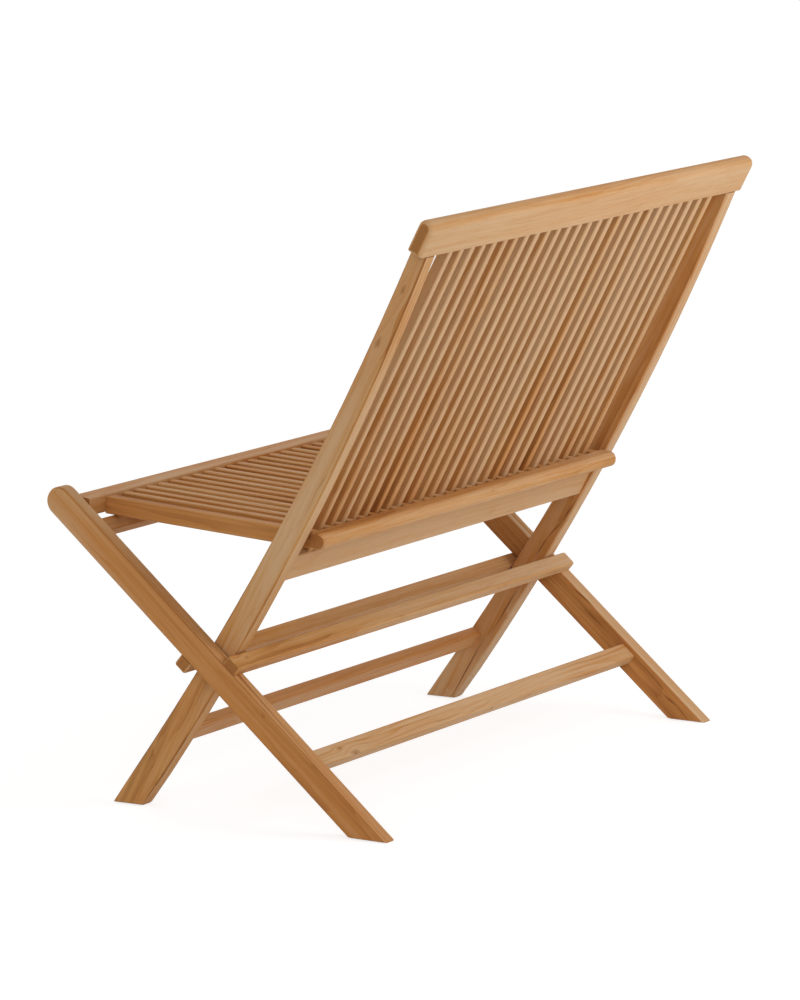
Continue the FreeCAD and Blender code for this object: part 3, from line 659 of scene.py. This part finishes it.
class BENCH_OT_seat(Operator):
    """Finish the seat's rails and slats"""
    bl_idname = "bench.seat"
    bl_label = "Seat"

    def execute(self, context):
        turn = (math.pi / 2 + context.scene.bench_teak.seat_slope, 0.0, 0.0)
        upward = Vector((0.0, 0.0, 1.0))
        crown = Drift(upward, start=highest("seat_rear_rail", upward) - 0.010, length=0.010,
                      amount=0.16)
        front = teak("teak_seat_front_rail", ALONG_X, seed=14.3, depth=0.38, warmth=0.60,
                     figure=0.50, rings=0.12)
        rear = teak("teak_seat_rear_rail", ALONG_X, seed=15.9, depth=0.38, warmth=0.36,
                    figure=0.62, rings=0.18, drifts=[crown])
        sides = teak("teak_seat_side_rails", turn, seed=16.1, depth=0.54, warmth=0.65,
                     figure=0.45, rings=0.12)
        slats = teak("teak_seat_slats", turn, seed=17.3, depth=0.58, warmth=0.65, figure=0.50,
                     rings=0.12, edge=-0.20, narrow_painted_light=-0.26, row_pitch=slat_row(), spread=0.25)
        dress(["seat_front_rail"], front)
        dress(["seat_rear_rail"], rear)
        dress(named("seat_side_rail"), sides)
        dress(named("seat_slats"), slats)
        return {"FINISHED"}


class BENCH_OT_fittings(Operator):
    """Finish the pins, washers and dowels"""
    bl_idname = "bench.fittings"
    bl_label = "Fittings"

    def execute(self, context):
        dress(["crossing_pins", "crossing_washers", "seat_pins"], brushed_steel())
        turn = (math.pi / 2 - leg_lean(), 0.0, 0.0)
        dowels = teak("teak_dowels", turn, seed=18.7, depth=0.2, warmth=0.3, figure=0.3)
        dress(["stop_rail_dowels"], dowels)
        return {"FINISHED"}


class BENCH_OT_stage(Operator):
    """Set up the floor, the light and the camera"""
    bl_idname = "bench.stage"
    bl_label = "Stage"

    def execute(self, context):
        stage = context.scene.bench_stage
        self.floor(context, stage)
        self.sky(context, stage)
        key = self.lamp(context, "key", "AREA", stage.key, KEY_DIRECTION)
        key.data.size = KEY_SIZE
        key.location = KEY_PLACE
        fill = self.lamp(context, "fill", "SUN", stage.fill, FILL_DIRECTION)
        fill.data.angle = SUN_SOFTNESS
        front = self.lamp(context, "front", "SUN", stage.front, FRONT_DIRECTION)
        front.data.angle = SUN_SOFTNESS
        self.camera(context, stage)
        context.scene.view_settings.view_transform = "Standard"
        return {"FINISHED"}

    def backdrop_rays(self, tree):
        """One for the rays that see the white backdrop, nothing for those that light the bench."""
        path = tree.node("ShaderNodeLightPath").outputs
        rays = tree.math("MAXIMUM", path["Is Camera Ray"], path["Is Glossy Ray"])
        return tree.math("MAXIMUM", rays, path["Is Transmission Ray"])

    def floor(self, context, stage):
        """A wide floor that is white to the camera and keeps a faint shadow."""
        shape = bmesh.new()
        bmesh.ops.create_grid(shape, x_segments=1, y_segments=1, size=FLOOR_REACH)
        mesh = bpy.data.meshes.new("floor")
        shape.to_mesh(mesh)
        shape.free()
        floor = bpy.data.objects.new("floor", mesh)
        context.scene.collection.objects.link(floor)
        material = bpy.data.materials.new("floor")
        material.use_nodes = True
        tree = Tree(material.node_tree)
        material.node_tree.nodes.clear()
        dim = tuple(FLOOR_SHADE * part for part in stage.floor)
        paint = tree.node("ShaderNodeBsdfDiffuse", {"Color": (*stage.floor, 1.0)})
        shade = tree.node("ShaderNodeBsdfDiffuse", {"Color": (*dim, 1.0)})
        glow = tree.node("ShaderNodeEmission", {"Color": WHITE, "Strength": FLOOR_GLOW})
        seen = tree.node("ShaderNodeAddShader", {0: shade.outputs[0], 1: glow.outputs[0]})
        mixed = tree.node("ShaderNodeMixShader", {0: self.backdrop_rays(tree),
                                                  1: paint.outputs[0], 2: seen.outputs[0]})
        tree.node("ShaderNodeOutputMaterial", {"Surface": mixed.outputs[0]})
        mesh.materials.append(material)

    def sky(self, context, stage):
        """Even light all round, and a white backdrop."""
        world = bpy.data.worlds.new("studio")
        world.use_nodes = True
        context.scene.world = world
        tree = Tree(world.node_tree)
        world.node_tree.nodes.clear()
        light = tree.node("ShaderNodeBackground", {"Color": WHITE, "Strength": stage.sky})
        white = tree.node("ShaderNodeBackground", {"Color": WHITE, "Strength": 1.0})
        mixed = tree.node("ShaderNodeMixShader", {0: self.backdrop_rays(tree),
                                                  1: light.outputs[0], 2: white.outputs[0]})
        tree.node("ShaderNodeOutputWorld", {"Surface": mixed.outputs[0]})

    def lamp(self, context, name, kind, strength, direction):
        """A lamp that shines against a direction."""
        data = bpy.data.lights.new(name, kind)
        data.energy = strength
        lamp = bpy.data.objects.new(name, data)
        lamp.rotation_euler = direction.to_track_quat("Z", "Y").to_euler()
        context.scene.collection.objects.link(lamp)
        return lamp

    def camera(self, context, stage):
        """The camera, turned to look at its target."""
        data = bpy.data.cameras.new("camera")
        data.sensor_fit = "HORIZONTAL"
        data.sensor_width = SENSOR_WIDTH
        data.lens = stage.lens
        data.clip_end = CLIP_END
        level = math.cos(stage.elevation)
        away = Vector((math.sin(stage.azimuth) * level, -math.cos(stage.azimuth) * level,
                       math.sin(stage.elevation)))
        facing = away.to_track_quat("Z", "Y").to_matrix().to_4x4()
        turned = facing @ Matrix.Rotation(stage.roll, 4, "Z")
        place = Matrix.Translation(Vector(stage.target) + away * stage.distance)
        camera = bpy.data.objects.new("camera", data)
        camera.matrix_world = place @ turned
        context.scene.collection.objects.link(camera)
        context.scene.camera = camera


class BENCH_PT_sidebar(Panel):
    bl_label = "Folding Bench"
    bl_space_type = "VIEW_3D"
    bl_region_type = "UI"
    bl_category = "Bench"

    def draw(self, context):
        for operator in OPERATORS:
            self.layout.operator(operator.bl_idname)
        for group in (context.scene.bench_teak, context.scene.bench_stage):
            for name in group.bl_rna.properties.keys():
                if name not in {"rna_type", "name"}:
                    self.layout.prop(group, name)


OPERATORS = (BENCH_OT_rear_legs, BENCH_OT_stiles, BENCH_OT_rails, BENCH_OT_back_slats,
             BENCH_OT_seat, BENCH_OT_fittings, BENCH_OT_stage)
CLASSES = (BenchTeak, BenchStage, *OPERATORS, BENCH_PT_sidebar)


def register():
    for item in CLASSES:
        bpy.utils.register_class(item)
    bpy.types.Scene.bench_teak = PointerProperty(type=BenchTeak)
    bpy.types.Scene.bench_stage = PointerProperty(type=BenchStage)


def unregister():
    del bpy.types.Scene.bench_stage
    del bpy.types.Scene.bench_teak
    for item in reversed(CLASSES):
        bpy.utils.unregister_class(item)


def main():
    register()
    bpy.ops.bench.rear_legs()
    bpy.ops.bench.stiles()
    bpy.ops.bench.rails()
    bpy.ops.bench.back_slats()
    bpy.ops.bench.seat()
    bpy.ops.bench.fittings()
    bpy.ops.bench.stage()


if __name__ == "__main__":
    main()
